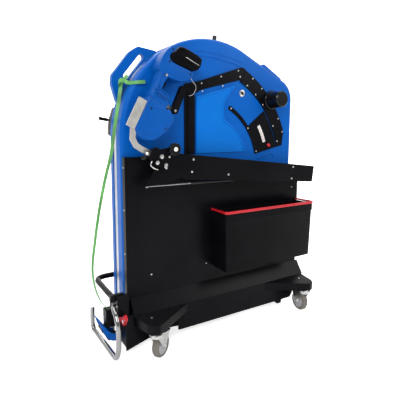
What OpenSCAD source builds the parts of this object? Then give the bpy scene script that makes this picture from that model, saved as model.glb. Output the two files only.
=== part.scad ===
// Wheeled strapping cart: a tall moulded chain housing on a steel base with four swivel casters.
// Front sheet panel, storage bin, strut-assisted lift arm with a hand strapping tool, chain sled
// with guide loop at the left foot, and one loose length of strap tied to the left handle.
// Units are millimetres. X runs along the front panel, +Y is to the rear, +Z is up.

/* [Housing] */
// overall width of the moulded housing
house_w = 962; // [800:1:1200]
// radius of the big round shoulder at the left
house_r = 450; // [380:1:475]
// height of the housing's crown above the floor
house_top = 1362; // [1250:1:1450]
// radius of the small right shoulder
corner_r = 105; // [60:1:160]
// depth of the front half shell
front_depth = 60; // [40:1:90]
// depth of the metal seam frame between the two halves
seam_depth = 42; // [20:1:60]
// depth of the rear half shell
rear_depth = 45; // [30:1:80]
// wall of the moulded shells
shell_wall = 4; // [3:0.5:6]

/* [Base] */
// width of the steel base between its side skirts
base_w = 982; // [900:1:1100]
// depth of the steel base over its corner ears
base_d = 450; // [400:1:560]
// top of the steel base above the floor
base_z = 160; // [140:1:180]
// height of the folded base edge
base_h = 38; // [25:1:50]
// width of the front sheet panel
panel_w = 990; // [900:1:1060]
// top of the front sheet panel above the floor
panel_top = 833; // [700:1:900]

/* [Casters] */
// wheel diameter
wheel_d = 100; // [75:1:108]
// tread width
wheel_w = 32; // [24:1:34]
// distance between the swivel axes, side to side
caster_x = 850; // [800:1:900]
// offset of the wheel axle behind the swivel axis
trail = 34; // [26:1:36]

/* [Bin] */
// bin width over the body
bin_w = 548; // [400:1:600]
// bin depth, front to back
bin_d = 116; // [80:1:118]
// top of the bin rim above the floor
bin_top = 580; // [500:1:600]
// overall bin height
bin_h = 288; // [200:1:320]
// bin wall
bin_t = 3; // [2:0.5:5]

/* [Lift arm and tool] */
// height of the arm's pivot above the floor
pivot_z = 715; // [690:1:735]
// arm plate thickness
arm_t = 4; // [3:0.5:6]
// strut tube diameter
strut_d = 18; // [14:1:20]
// tool depth, front to back
tool_d = 80; // [60:1:84]
// tilt of the tool from upright, in degrees
tool_tilt = 26.9; // [20:0.1:35]

/* [Controls] */
// diameter of the large round knob
knob_d = 86; // [60:1:90]
// length of the large round knob
knob_len = 84; // [50:1:100]
// diameter of the red push button
button_d = 18; // [12:1:20]

/* [Chain and guard] */
// tube diameter of the chrome guide loop
loop_d = 21; // [16:1:24]
// width of the chain sled
sled_w = 66; // [50:1:70]
// pitch of the chain rollers
pitch = 30; // [24:1:32]

/* [Strap] */
// strap width
strap_w = 16; // [12:1:19]
// strap thickness
strap_t = 1.2; // [0.8:0.1:1.6]

/* [Hidden] */
// centre of the whole part in the layout frame, so the part stands centred on its origin
mid = [-35, 205, 0];

deep_blue = [0.02, 0.22, 0.72];
light_blue = [0.03, 0.36, 0.84];
black = [0.05, 0.05, 0.055];
silver = [0.72, 0.72, 0.7];

face_y = 178;
seam_y = face_y + front_depth;
rear_y = seam_y + seam_depth;
back_y = rear_y + rear_depth;
house_x0 = -498;
house_x1 = house_x0 + house_w;
crown = [house_x0 + house_r, house_top - house_r];
corner = [house_x1 - corner_r, 1103];
house_z0 = 170;

base_x = 8;
caster_mid = 0;
base_y = -20 + base_d / 2;
skirt_z = base_z - base_h;
panel_y = 149;
swivel = [for (sy = [-1, 1], sx = [-1, 1]) [caster_mid + sx * caster_x / 2, base_y + sy * (base_d / 2 - 28)]];
heading = [34, 82, -15, 195];
wheel_r = wheel_d / 2;
rim_r = wheel_r - 14;
axle_r = 5;
run = 0.05;
pedal_at = [trail + 36, wheel_r + 46];
leg_y = wheel_w / 2 + 2.6;

dial = [-110, 752];
band_out = 545;
band_in = 479;
sector_in = 332;
ridge_r = 277;
sector_a0 = 12.7;
sector_a1 = 37.4;
band_a1 = 62;
trim_y = face_y - 6;
knob_at = [312, 1097];
button_at = [301, 867];

pivot = [420, pivot_z];
arm_y = 80;
strut_y = 103;
strut_base = [18, 711];
strut_tip = [-416, 713];
strut_len = norm(strut_tip - strut_base);
strut_a = atan2(strut_tip[1] - strut_base[1], strut_tip[0] - strut_base[0]);
hold = [-405, 852];
round_at = [-310, 867];
tool_at = [-400, 915];
tool_y = arm_y + 4;

exit_x = -520;
lance_y = 220;
lance_z = 40;
teeth = 8;
sprocket_x = -300;
pitch_r = teeth * pitch / (2 * PI);
sprocket_z = lance_z + pitch_r;

// ---- shared shapes ----

// stands a flat outline drawn in X and Z up in the layout frame, from y0 towards the rear
module upright(y0, depth) {
  translate([0, y0 + depth, 0]) rotate([90, 0, 0]) linear_extrude(depth) children();
}

// a round bar along Y
module bar_y(x, z, y0, y1, r, sides = 32) {
  translate([x, y1, z]) rotate([90, 0, 0]) cylinder(h = y1 - y0, r = r, $fn = sides);
}

// part of a flat ring between two radii and two angles
module ring_part(r0, r1, a0, a1, steps = 20) {
  polygon([
    for (i = [0:steps]) let (a = a0 + (a1 - a0) * i / steps) r1 * [cos(a), sin(a)],
    for (i = [steps:-1:0]) let (a = a0 + (a1 - a0) * i / steps) r0 * [cos(a), sin(a)]
  ]);
}

// a rounded bar between two flat points
module slot2d(a, b, r) {
  hull() {
    translate(a) circle(r, $fn = 24);
    translate(b) circle(r, $fn = 24);
  }
}

// a curve through hand-placed points, with a few steps between each pair
function curve(p, n) = [
  for (i = [0:len(p) - 2]) for (k = [0:n - 1])
    let (a = p[max(i - 1, 0)], b = p[i], c = p[i + 1], d = p[min(i + 2, len(p) - 1)], t = k / n)
    0.5 * (2 * b + (c - a) * t + (2 * a - 5 * b + 4 * c - d) * t * t + (3 * b - a - 3 * c + d) * t * t * t),
  p[len(p) - 1]
];
function unit(v) = v / norm(v);
function heading_at(p, i) = unit(p[min(i + 1, len(p) - 1)] - p[max(i - 1, 0)]);

function turned(v, a) = [v[0] * cos(a) - v[1] * sin(a), v[0] * sin(a) + v[1] * cos(a), v[2]];

// an oval tube of width w and height h swept along a path; side guides the width direction,
// which turns about Z by turn degrees from the first ring to the last
module sweep(path, w, h, side, sides = 12, turn = 0) {
  n = len(path);
  rings = [for (i = [0:n - 1])
    let (t = heading_at(path, i), s = turned(side, turn * i / (n - 1)), u = unit(s - (s * t) * t), v = cross(t, u))
    for (k = [0:sides - 1]) let (a = 360 * k / sides) path[i] + u * w / 2 * cos(a) + v * h / 2 * sin(a)];
  polyhedron(points = rings, convexity = 4, faces = [
    [for (k = [0:sides - 1]) k],
    for (i = [0:n - 2]) for (k = [0:sides - 1])
      [i * sides + k, (i + 1) * sides + k, (i + 1) * sides + (k + 1) % sides, i * sides + (k + 1) % sides],
    [for (k = [sides - 1:-1:0]) (n - 1) * sides + k]
  ]);
}

// outline of the housing, seen from the front
module house2d(inset = 0) {
  offset(delta = -inset) hull() {
    translate(crown) circle(house_r, $fn = 96);
    translate(corner) circle(corner_r, $fn = 48);
    translate([house_x0, house_z0]) square([house_w, 20]);
  }
}

// one moulded half: flat outline at y0, rounded over towards y1
module dished(y0, y1, inset) {
  s = sign(y1 - y0);
  hull() {
    for (step = [[0, 0], [abs(y1 - y0) - 16, 0], [abs(y1 - y0) - 8, 2.2],
                 [abs(y1 - y0) - 2.5, 8], [abs(y1 - y0) - 0.2, 16]])
      upright(y0 + s * step[0] - (s < 0 ? 0.1 : 0), 0.1) house2d(inset + step[1]);
  }
}

// ---- base ----

module base2d() {
  half = [[-491, 104], [-470, 12], [-452, -14], [-428, -20], [-390, 2], [-230, 104]];
  translate([base_x, 0]) offset(r = 14) offset(delta = -14) polygon([
    for (p = half) [p[0] * base_w / 982, p[1]],
    for (i = [5:-1:0]) [-half[i][0] * base_w / 982, half[i][1]],
    for (p = half) [-p[0] * base_w / 982, 2 * base_y - p[1]],
    for (i = [5:-1:0]) [half[i][0] * base_w / 982, 2 * base_y - half[i][1]]
  ]);
}

module base_deck() translate(-mid) color(black) {
  translate([0, 0, base_z - 3]) linear_extrude(3) base2d();
  translate([0, 0, skirt_z]) linear_extrude(base_h - 3) difference() {
    base2d();
    offset(delta = -3) base2d();
  }
  translate([0, 0, skirt_z]) linear_extrude(4) intersection() {
    base2d();
    for (p = swivel) translate([p[0] - 62, p[1] - 40]) square([124, 80]);
  }
}

module front_ledge() translate(-mid) color(black)
  translate([-480, 0, 0]) rotate([90, 0, 90]) linear_extrude(988)
    polygon([[104, base_z], [panel_y, base_z + 65], [panel_y, base_z + 60.5], [107.5, base_z]]);

module front_apron() translate(-mid) color(black)
  upright(107.3, 3) offset(r = 5) offset(delta = -5) polygon([
    [-268, 40], [310, 40], [332, 24], [357, 24], [362, 42], [422, 42], [440, 66], [440, base_z - 3.3],
    [-268, base_z - 3.3]
  ]);

module front_panel() translate(-mid) color(black) difference() {
  upright(panel_y, face_y - panel_y - 0.3) panel2d();
  upright(panel_y + 2, face_y) offset(delta = -2) panel2d();
}

module panel2d() polygon([
  [-panel_w / 2, base_z], [panel_w / 2, base_z], [panel_w / 2, panel_top - 112], [-400, panel_top],
  [-panel_w / 2, panel_top]
]);

module rear_panel() translate(-mid) color(black) difference() {
  translate([-465, back_y + 0.3, base_z]) cube([896, 20, 640]);
  translate([-463, back_y - 1, base_z - 1]) cube([892, 19.3, 639]);
}

module screw_head(x, z, y, r = 4) bar_y(x, z, y - 2.2, y, r, 14);

module screws() translate(-mid) color(silver) {
  for (p = [[-380, 312], [-92, 312], [452, 640], [452, 250]])
    screw_head(p[0], p[1], panel_y);
  for (z = [230, 420, 610, 790])
    translate([-panel_w / 2, 163, z]) rotate([0, -90, 0]) cylinder(h = 2.2, r = 4, $fn = 14);
  for (sx = [-1, 1])
    translate([base_x + sx * 430, 60, base_z]) cylinder(h = 2.2, r = 5, $fn = 14);
  trim_rivets();
  lock_barrel();
  latch_pin();
}

// ---- housing ----

module handle_slot(a, b) slot2d(a, b, 13);

module front_shell() translate(-mid) color(deep_blue) difference() {
  dished(seam_y, face_y, 0);
  dished(seam_y + 1, face_y + shell_wall, shell_wall);
  bar_y(knob_at[0], knob_at[1], face_y - 1, face_y + 8, 11.5);
  bar_y(button_at[0], button_at[1], face_y - 1, face_y + 8, button_d / 2 + 1);
  upright(face_y - 1, 2.5) translate([crown[0] - 50, 491]) ring_part(801, 809, 74, 93);
}

module seam_frame() translate(-mid) color(silver) difference() {
  upright(seam_y + 0.2, seam_depth - 0.4) house2d(3);
  upright(seam_y - 1, seam_depth + 2) house2d(26);
}

module rear_shell() translate(-mid) color(deep_blue) {
  difference() {
    dished(rear_y, back_y, 0);
    dished(rear_y - 1, back_y - shell_wall, shell_wall);
  }
  upright(rear_y, 30) difference() {
    hull() {
      for (p = [[-482, 1146, 15], [-472, 1174, 22], [-398, 1268, 22], [-368, 1293, 18], [-300, 1262, 40],
                [-440, 1090, 40]])
        translate([p[0], p[1]]) circle(p[2], $fn = 32);
    }
    handle_slot([-430, 1180], [-358, 1268]);
    house2d(2);
  }
  upright(rear_y, 30) difference() {
    hull() {
      for (p = [[352, 1275, 18], [460, 1214, 18], [330, 1200, 20], [440, 1120, 20]])
        translate([p[0], p[1]]) circle(p[2], $fn = 32);
    }
    handle_slot([375, 1236], [440, 1200]);
    house2d(2);
  }
}

module cover_panel() translate(-mid) color(light_blue) upright(face_y - 4, 4) difference() {
  polygon([
    [-134, 838], [-134, 1076], [-112, 1101], [60, 1150], [72, 1148], [18, 1072],
    for (a = [62:-5:20]) dial + ridge_r * [cos(a), sin(a)],
    [150, 838]
  ]);
}

module trim_strips() translate(-mid) color(black) {
  upright(trim_y, 5.7) translate([-179, 836]) square([36, 268]);
  upright(trim_y + 3, 2.6) translate([-197, 836]) square([20, 290]);
  upright(trim_y, 5.7) polygon([
    [-196, 1150], [-179, 1098], [-134, 1113], [-113, 1127], [115, 1186],
    [114.4, 1176], [145.2, 1233.4], [134, 1244], [113, 1243], [-118, 1167]
  ]);
}

module trim_arc() translate(-mid) color(black) upright(trim_y, 5.7) difference() {
  translate(dial) ring_part(band_in, band_out, sector_a0, band_a1 - 0.1, 28);
  translate(knob_at) circle(10 + run, $fn = 64);
  polygon([[394, 850], [394, 874], [401, 925], [440, 925], [440, 850]]);
}

module control_plate() translate(-mid) color(black) {
  upright(face_y - 4, 3.8) difference() {
    translate(dial) ring_part(sector_in, band_in - 5, sector_a0, sector_a1);
    translate(button_at) circle(button_d / 2 + run, $fn = 48);
  }
  upright(face_y - 4, 3.8) translate(dial) ring_part(sector_in, sector_in + 18, sector_a1, 62);
}

module scale_label() translate(-mid) color([0.93, 0.93, 0.92])
  upright(face_y - 4.6, 0.6) translate(dial) ring_part(396, 414, 19, 32, 10);

module trim_rivets() {
  for (a = [20, 28, 48, 56])
    screw_head(dial[0] + 536 * cos(a), dial[1] + 536 * sin(a), trim_y);
  for (a = [16, 26, 41, 49, 57])
    screw_head(dial[0] + 488 * cos(a), dial[1] + 488 * sin(a), trim_y);
  for (p = [[-108, 1157], [0, 1194], [100, 1228], [-104, 1122], [10, 1152], [112, 1200]])
    screw_head(p[0], p[1], trim_y);
  for (a = [14.5, 36])
    screw_head(dial[0] + 342 * cos(a), dial[1] + 342 * sin(a), face_y - 4);
  screw_head(dial[0] + 341 * cos(60), dial[1] + 341 * sin(60), face_y - 4);
}

module lock_barrel() difference() {
  bar_y(129, 1123, face_y - 3, face_y, 16.5);
  bar_y(129, 1123, face_y - 4, face_y - 1, 8);
}

module big_knob() translate(-mid) color(black) translate([knob_at[0], trim_y - 0.3, knob_at[1]]) rotate([90, 0, 0])
  rotate_extrude($fn = 64) polygon([
    [0, -30], [10, -30], [10, 0], [knob_d / 2 + 4, 0], [knob_d / 2 + 4, 8], [knob_d / 2, 11],
    [knob_d / 2 - 1, 30], [knob_d / 2 - 2, 32], [knob_d / 2 - 4, knob_len - 5], [knob_d / 2 - 9, knob_len],
    [0, knob_len]
  ]);

module red_button() translate(-mid) color([0.85, 0.04, 0.06]) translate([button_at[0], face_y + 12, button_at[1]])
  rotate([90, 0, 0]) rotate_extrude($fn = 48) polygon([
    [0, 0], [button_d / 2, 0], [button_d / 2, 22], [button_d / 2 - 2.5, 24.5], [0, 25.5]
  ]);

module top_peg() translate(-mid) color(black)
  translate([crown[0], seam_y + seam_depth / 2, crown[1]]) rotate([0, 8, 0]) {
    translate([0, 0, house_r - 2.9]) cylinder(h = 24, r = 6, $fn = 24);
    translate([0, 0, house_r + 17]) cylinder(h = 22, r = 9.5, $fn = 32);
  }

// ---- chain sled, drive and guards at the left foot ----

module exit_box() translate(-mid) color(black) {
  upright(104.5, 3) polygon([
    [exit_x, 16], [-397, 50], [-397, skirt_z - 0.3], [-483.3, skirt_z - 0.3], [-483.3, 168], [exit_x, 168]
  ]);
  difference() {
    translate([exit_x, 107.5, 32]) cube([3, 206, 136]);
    translate([exit_x - 1, lance_y - 38, 0]) cube([5, 76, 82]);
  }
  translate([exit_x, 107.5, 165]) cube([20.5, 206, 3]);
  translate([exit_x, 310.5, 32]) cube([36.7, 3, 89.7]);
  difference() {
    translate([-487, 107.5, 32]) cube([3, 203, skirt_z - 32.3]);
    translate([-488, lance_y - 24, 8]) cube([5, 48, 62]);
  }
  for (sy = [-1, 1])
    translate([-487, lance_y + sy * 26 - 1.5, 12]) cube([560, 3, 50]);
  translate([-487, lance_y - 27.5, 12]) cube([560, 55, 3]);
  for (x = [-240, 40], sy = [-1, 1])
    translate([x, lance_y + sy * 29 - 1.5, 12]) cube([24, 3, base_z - 15.2]);
  strap_guide();
}

module strap_guide() {
  difference() {
    translate([-572, 205, 86]) cube([52, 44, 76]);
    translate([-566, 211, 92]) cube([30, 60, 58]);
  }
  translate([-572, 208, 162]) cube([24, 38, 3]);
}

module red_latch() translate(-mid) color([0.8, 0.05, 0.04]) difference() {
  translate([exit_x - 12.3, 0, 0]) rotate([90, 0, 90]) linear_extrude(12) offset(r = 4) offset(delta = -4)
    polygon([[168, 140], [136, 160], [112, 166], [92, 186], [76, 168], [104, 132], [128, 138]]);
  translate([exit_x - 20, 104, 152]) rotate([0, 90, 0]) cylinder(h = 30, r = 5 + run, $fn = 32);
}

module latch_pin() translate([exit_x - 16, 104, 152]) rotate([0, 90, 0]) {
  cylinder(h = 16, r = 5, $fn = 32);
  cylinder(h = 3.4, r = 8, $fn = 32);
}

loop_path = curve([
  [-590, 352, 132], [-590, 356, 90], [-589, 360, 44], [-587, 346, 20], [-583, 310, 16], [-577, 110, 16],
  [-575, 80, 19], [-574, 62, 36], [-573, 50, 72], [-572, 48, 130], [-572, 56, 164], [-572, 78, 188],
  [-572, 102, 204], [-568, 117, 211], [-562, 124, 214], [-556, 125, 214], [-550.8, 125, 214]
], 4);

module guide_loop() translate(-mid) color([0.85, 0.85, 0.86])
  sweep(loop_path, loop_d, loop_d, [0.6, -0.55, 0.6], 12);

bumper_path = curve([
  [-560, 140, 246], [-560, 180, 246], [-560, 330, 246], [-558, 362, 246], [-546, 386, 246],
  [-520, 398, 246], [-480, 400, 246], [-440, 400, 246]
], 4);

module bumper_frame() translate(-mid) color([0.16, 0.16, 0.16]) {
  sweep(bumper_path, 25, 25, [0, 0, 1], 12);
  translate([-440, back_y + 20.3, 232]) cube([24, 82 - rear_depth + 12, 28]);
  joint_block();
}

module joint_block() {
  translate([-550, 116, 168.2]) cube([50, 26, 86]);
  translate([-574, 134, 232]) cube([60, 18, 28]);
}

module sled_nose() translate(-mid) color(deep_blue)
  for (sy = [-1, 1]) upright(lance_y + sy * sled_w / 2 - (sy > 0 ? 7 : 0), 7) polygon([
    for (p = curve([[-528, 28], [-556, 34], [-580, 60], [-598, 97], [-612, 140]], 5)) p,
    for (p = curve([[-612, 140], [-588, 107], [-566, 78], [-545, 62], [-528, 56]], 5)) p
  ]);

module lance_chain() translate(-mid) color([0.12, 0.12, 0.12]) {
  rollers = 22;
  x0 = sprocket_x - 7.5 * pitch;
  for (i = [0:rollers - 1])
    bar_y(x0 + i * pitch, lance_z, lance_y - 17, lance_y + 17, 4, 12);
  for (sy = [-1, 1]) upright(lance_y + sy * 14 - 2.5, 5) {
    translate([x0, lance_z - 11]) square([(rollers - 1) * pitch, 15]);
    for (i = [0:rollers - 1])
      translate([x0 + i * pitch, lance_z]) rotate(22.5) circle(9, $fn = 8);
  }
  for (p = [[-586, 84], [-562, 44]])
    bar_y(p[0], p[1], lance_y - sled_w / 2 + 7, lance_y + sled_w / 2 - 7, 11, 20);
  for (sy = [-1, 1]) upright(lance_y + sy * 20 - 3, 6)
    polygon([[-594, 80], [-568, 34], [x0, 31], [x0, 49], [-560, 54], [-578, 90]]);
}

module drive_sprocket() translate(-mid) color(silver) difference() {
  union() {
    bar_y(sprocket_x, sprocket_z, lance_y - 6, lance_y + 6, pitch_r - 8, 48);
    for (i = [0:teeth - 1])
      translate([sprocket_x, lance_y - 5, sprocket_z]) rotate([0, 360 / teeth * (i + 0.0), 0])
        translate([0, 10, 0]) rotate([90, 0, 0]) linear_extrude(10)
          polygon([[-6.5, -20], [-5, -pitch_r], [-2.2, -pitch_r - 6], [2.2, -pitch_r - 6], [5, -pitch_r], [6.5, -20]]);
  }
  bar_y(sprocket_x, sprocket_z, lance_y - 20, lance_y + 20, 8 + run, 32);
}

module drive_motor() translate(-mid) color([0.3, 0.31, 0.32]) {
  bar_y(sprocket_x, sprocket_z, lance_y - 10, 252, 8, 32);
  bar_y(sprocket_x, sprocket_z, 252, 318, 34, 48);
  translate([sprocket_x - 20, 262, sprocket_z + 20]) cube([40, 46, base_z - 3 - sprocket_z - 20]);
}

// ---- casters ----

module at_caster(i) translate([swivel[i][0], swivel[i][1], 0]) rotate([0, 0, heading[i]]) children();

module caster_plates() translate(-mid) color(silver) for (i = [0:3]) {
  translate([swivel[i][0] - 30, swivel[i][1] - 30 + (i < 2 ? 8 : -8), skirt_z - 3]) cube([60, 60, 3]);
  translate([swivel[i][0], swivel[i][1], skirt_z - 10]) cylinder(h = 7.2, r = 31, $fn = 48);
  translate([swivel[i][0], swivel[i][1], skirt_z - 19]) cylinder(h = 10, r = 8, $fn = 32);
}

module caster_fork(i) translate(-mid) color(silver) at_caster(i) {
  difference() {
    union() {
      translate([0, 0, skirt_z - 18]) cylinder(h = 7.7, r = 29, $fn = 48);
      translate([-16, -leg_y - 1.5, skirt_z - 18]) cube([54, 2 * leg_y + 3, 3]);
    }
    translate([0, 0, skirt_z - 30]) cylinder(h = 30, r = 8 + run, $fn = 32);
  }
  for (sy = [-1, 1]) translate([0, sy * leg_y + 1.5, 0]) rotate([90, 0, 0]) linear_extrude(3) hull() {
    translate([-16, skirt_z - 18]) square([36, 3]);
    translate([trail, wheel_r]) circle(11, $fn = 32);
    if (i < 2) translate(pedal_at) circle(6, $fn = 24);
  }
  bar_y(trail, wheel_r, -leg_y, leg_y, axle_r, 32);
  bar_y(trail, wheel_r, -leg_y - 5, -leg_y, 8, 24);
  bar_y(trail, wheel_r, leg_y, leg_y + 5, 8, 24);
  if (i < 2) bar_y(pedal_at[0], pedal_at[1], -leg_y, leg_y, 3, 24);
}

module tyre(i) translate(-mid) color([0.36, 0.35, 0.33]) at_caster(i)
  translate([trail, 0, wheel_r]) rotate([90, 0, 0]) rotate_extrude($fn = 64) polygon([
    [rim_r, -wheel_w / 2 + 2], [rim_r + 6, -wheel_w / 2], [wheel_r - 5, -wheel_w / 2 + 1],
    [wheel_r, -wheel_w / 2 + 7], [wheel_r, wheel_w / 2 - 7], [wheel_r - 5, wheel_w / 2 - 1],
    [rim_r + 6, wheel_w / 2], [rim_r, wheel_w / 2 - 2]
  ]);

module hub(i) translate(-mid) color([0.8, 0.8, 0.8]) at_caster(i)
  translate([trail, 0, wheel_r]) rotate([90, 0, 0]) rotate_extrude($fn = 64) polygon([
    [axle_r + run, 1.8 - leg_y], [11, 1.8 - leg_y], [12, -8], [rim_r - 6, -6], [rim_r - 4, -13], [rim_r, -13],
    [rim_r, 13], [rim_r - 4, 13], [rim_r - 6, 6], [12, 8], [11, leg_y - 1.8], [axle_r + run, leg_y - 1.8]
  ]);

module brake_pedal(i) translate(-mid) color(black) at_caster(i) difference() {
  union() {
    bar_y(pedal_at[0], pedal_at[1], -15.7, 15.7, 6.5, 32);
    translate([0, 15.5, 0]) rotate([90, 0, 0]) linear_extrude(31)
      polygon([[pedal_at[0], pedal_at[1] + 6], [pedal_at[0] + 22, pedal_at[1] + 2],
               [pedal_at[0] + 21, pedal_at[1] - 4], [pedal_at[0] + 2, pedal_at[1] - 2]]);
  }
  bar_y(pedal_at[0], pedal_at[1], -20, 20, 3 + run, 32);
}

// ---- lift arm, strut and tool holder ----

module lift_arm() translate(-mid) color(black) {
  difference() {
    union() {
      upright(arm_y, arm_t) polygon([
        [-432, 716], [-343, 855], [542, 754], [531, 671], [3, 715], [-245, 733], [-267, 746], [-292, 733]
      ]);
      upright(arm_y + arm_t, 32) polygon([[-343, 855], [542, 754], [541.7, 751], [-345, 852]]);
      bar_y(pivot[0], pivot[1], arm_y + arm_t, 116, 18, 48);
    }
    bar_y(pivot[0], pivot[1], arm_y + arm_t, 117, 8 + run, 32);
  }
  bar_y(strut_tip[0] + 2, strut_tip[1] + 13, arm_y + arm_t, strut_y - 8.3, 4, 20);
}

module arm_bolts() translate(-mid) color(silver) {
  for (p = [[389, 757], [381, 698], [-205, 819], [-213, 765], [-18, 742]])
    screw_head(p[0], p[1], arm_y, 5);
  bar_y(-350, 803, 53.5, 60, 9, 24);
  bar_y(-322, 834, arm_y - 4, arm_y, 5, 16);
  clamp_stud();
}

module hinge_bracket() translate(-mid) color(black) {
  bar_y(pivot[0], pivot[1], 116.3, panel_y, 22, 48);
  bar_y(pivot[0], pivot[1], arm_y + arm_t + 0.3, 116.3, 8, 32);
  upright(strut_y + 11, panel_y - strut_y - 11) translate(strut_base - [16, 16]) square([32, 32]);
  bar_y(strut_base[0], strut_base[1], strut_y - 12, strut_y + 11, 5, 32);
}

module at_strut() translate([strut_base[0], strut_y, strut_base[1]]) rotate([0, -strut_a, 0]) children();

module strut_tube() translate(-mid) color(black) at_strut() {
  difference() {
    translate([0, 9, 0]) rotate([90, 0, 0]) cylinder(h = 18, r = 9, $fn = 32);
    translate([0, 10, 0]) rotate([90, 0, 0]) cylinder(h = 20, r = 5 + run, $fn = 32);
  }
  difference() {
    translate([8, 0, 0]) rotate([0, 90, 0]) cylinder(h = 214, r = strut_d / 2, $fn = 40);
    translate([0, 10, 0]) rotate([90, 0, 0]) cylinder(h = 20, r = 7, $fn = 32);
    translate([14, 0, 0]) rotate([0, 90, 0]) cylinder(h = 230, r = 4 + run, $fn = 32);
  }
}

module strut_rod() translate(-mid) color([0.85, 0.85, 0.86]) at_strut() {
  translate([60, 0, 0]) rotate([0, 90, 0]) cylinder(h = strut_len - 66, r = 4, $fn = 32);
  translate([strut_len, 0, 0]) sphere(8, $fn = 32);
}

module clamp_block() translate(-mid) color(black) {
  upright(60, arm_y - 60.2) polygon([
    [-424, 842], [-408, 872], [-384, 876], [-334, 820], [-332, 794], [-352, 784], [-404, 802]
  ]);
  bar_y(hold[0], hold[1], arm_y - 0.2, 91.7, 11, 32);
  bar_y(hold[0], hold[1], 91.7, 106, 6, 32);
  bar_y(hold[0], hold[1], 98.4, 104, 10, 24);
  upright(68, arm_y - 68.2) slot2d([-385, 856], round_at, 9);
  bar_y(round_at[0], round_at[1], 46, 68, 5, 32);
}

module clamp_lever() translate(-mid) color(black) difference() {
  union() {
    bar_y(-396, 816, 44, 59.7, 10, 32);
    upright(46, 7) slot2d([-396, 816], [-354, 780], 5);
  }
  bar_y(-396, 816, 40, 60.5, 5 + run, 32);
}

module clamp_stud() {
  bar_y(-396, 816, 40, 60, 5, 32);
  bar_y(-396, 816, 38, 42, 8, 24);
}

module round_knob() translate(-mid) color(black) difference() {
  translate([round_at[0], 67.7, round_at[1]]) rotate([90, 0, 0]) rotate_extrude($fn = 48)
    polygon([[0, 0], [14, 0], [16, 4], [25, 6], [26, 8], [26, 18], [24, 20], [9, 20], [9, 23], [0, 23]]);
  bar_y(round_at[0], round_at[1], 45.5, 70, 5 + run, 32);
}

module tool_holder() translate(-mid) color([0.78, 0.77, 0.72]) {
  difference() {
    upright(92, 5) offset(r = 11.5, $fn = 32) polygon([
      hold, [-438, 866], [-466, 884], [-480, 912], [-476, 962],
      [-475, 962], [-479, 912.3], [-465.5, 884.8], [-437.6, 866.9], hold + [0, 1]
    ]);
    bar_y(hold[0], hold[1], 91, 99, 6 + run, 32);
  }
  in_tool() translate([-118, 0, -2]) cube([36, 14, 124]);
}

// ---- hand strapping tool ----

module in_tool() translate([tool_at[0], tool_y, tool_at[1]]) rotate([0, tool_tilt, 0]) children();

module tool_slab(y0, depth) translate([0, y0 + depth, 0]) rotate([90, 0, 0]) linear_extrude(depth) children();

module tool_body() translate(-mid) color(deep_blue) in_tool() {
  difference() {
    tool_slab(6, tool_d - 12) polygon([[-98, 316], [-96, 336], [-80, 372], [-58, 398], [-52, 372], [-72, 346], [-58, 318], [60, 340],
             [58, 312], [48, 290], [20, 272], [-14, 276], [-42, 290], [-42, 196], [-8, 190], [-4, 160], [-74, 152],
             [-76, 176], [-84, 186], [-95, 270]]);
    tool_slab(23, 32) polygon([[-53, 197], [-40, 197], [-40, 243], [-53, 243]]);
  }
  tool_slab(0, tool_d) offset(r = 12) offset(delta = -12) polygon([
    [-79, 142], [-72, 70], [-70, 34], [-48, 2], [-14, -12], [12, -8], [46, 34], [60, 74], [61, 112], [50, 130],
    [4, 148]
  ]);
  tool_slab(12, tool_d - 26) slot2d([-70, 22], [-10, -8], 15);
  tool_slab(14, 40) polygon([[-28, 150], [22, 150], [24, 180], [6, 252], [-26, 262]]);
}

module tool_battery() translate(-mid) color([0.12, 0.11, 0.1]) in_tool() tool_slab(3, tool_d - 6)
  offset(r = 5) offset(delta = -5) polygon([
    [-57.5, 319.5], [-70.5, 346], [-51, 371], [-50, 399], [2, 407], [66, 409], [72, 394], [76, 366], [60.5, 342]
  ]);

module tool_lever() translate(-mid) color([0.07, 0.07, 0.07]) in_tool() difference() {
  tool_slab(2, 26) slot2d([48, 148], [44, 250], 14);
  translate([48, 40, 148]) rotate([90, 0, 0]) cylinder(h = 60, r = 5 + run, $fn = 32);
}

module tool_pins() translate(-mid) color(silver) in_tool() {
  translate([48, 36, 148]) rotate([90, 0, 0]) cylinder(h = 36, r = 5, $fn = 32);
  tool_slab(28.3, 8) slot2d([48, 148], [10, 156], 9);
  translate([-50, 6, 259]) rotate([90, 0, 0]) cylinder(h = 2, r = 5, $fn = 20);
}

module tool_trigger() translate(-mid) color(black) in_tool()
  tool_slab(24, 30) polygon([[-46, 200], [-46, 240], [-30, 236], [-32, 206]]);

// ---- bin ----

bin_x = -62;

module bin_body() translate(-mid) color(black) difference() {
  hull() {
    translate([bin_x, panel_y - 2.3 - bin_d, bin_top - 47]) cube([bin_w, bin_d, 34]);
    translate([bin_x + 8, panel_y - 2.3 - bin_d + 8, bin_top - bin_h]) cube([bin_w - 16, bin_d - 8, 4]);
  }
  hull() {
    translate([bin_x + bin_t, panel_y - 2.3 - bin_d + bin_t, bin_top - 12]) cube([bin_w - 2 * bin_t, bin_d - 2 * bin_t, 2]);
    translate([bin_x + 8 + bin_t, panel_y - 2.3 - bin_d + 8 + bin_t, bin_top - bin_h + bin_t])
      cube([bin_w - 16 - 2 * bin_t, bin_d - 8 - 2 * bin_t, 2]);
  }
}

module bin_rim() translate(-mid) color([0.75, 0.03, 0.05]) difference() {
  translate([0, 0, bin_top - 13]) linear_extrude(13) offset(r = 8) offset(delta = -5)
    translate([bin_x - 3, panel_y - 2.3 - bin_d - 3]) square([bin_w + 6, bin_d + 2]);
  translate([0, 0, bin_top - 14]) linear_extrude(15) offset(r = 4) offset(delta = -4)
    translate([bin_x + 5, panel_y + 2.7 - bin_d]) square([bin_w - 10, bin_d]);
}

// ---- strap control at the rear left ----

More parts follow.
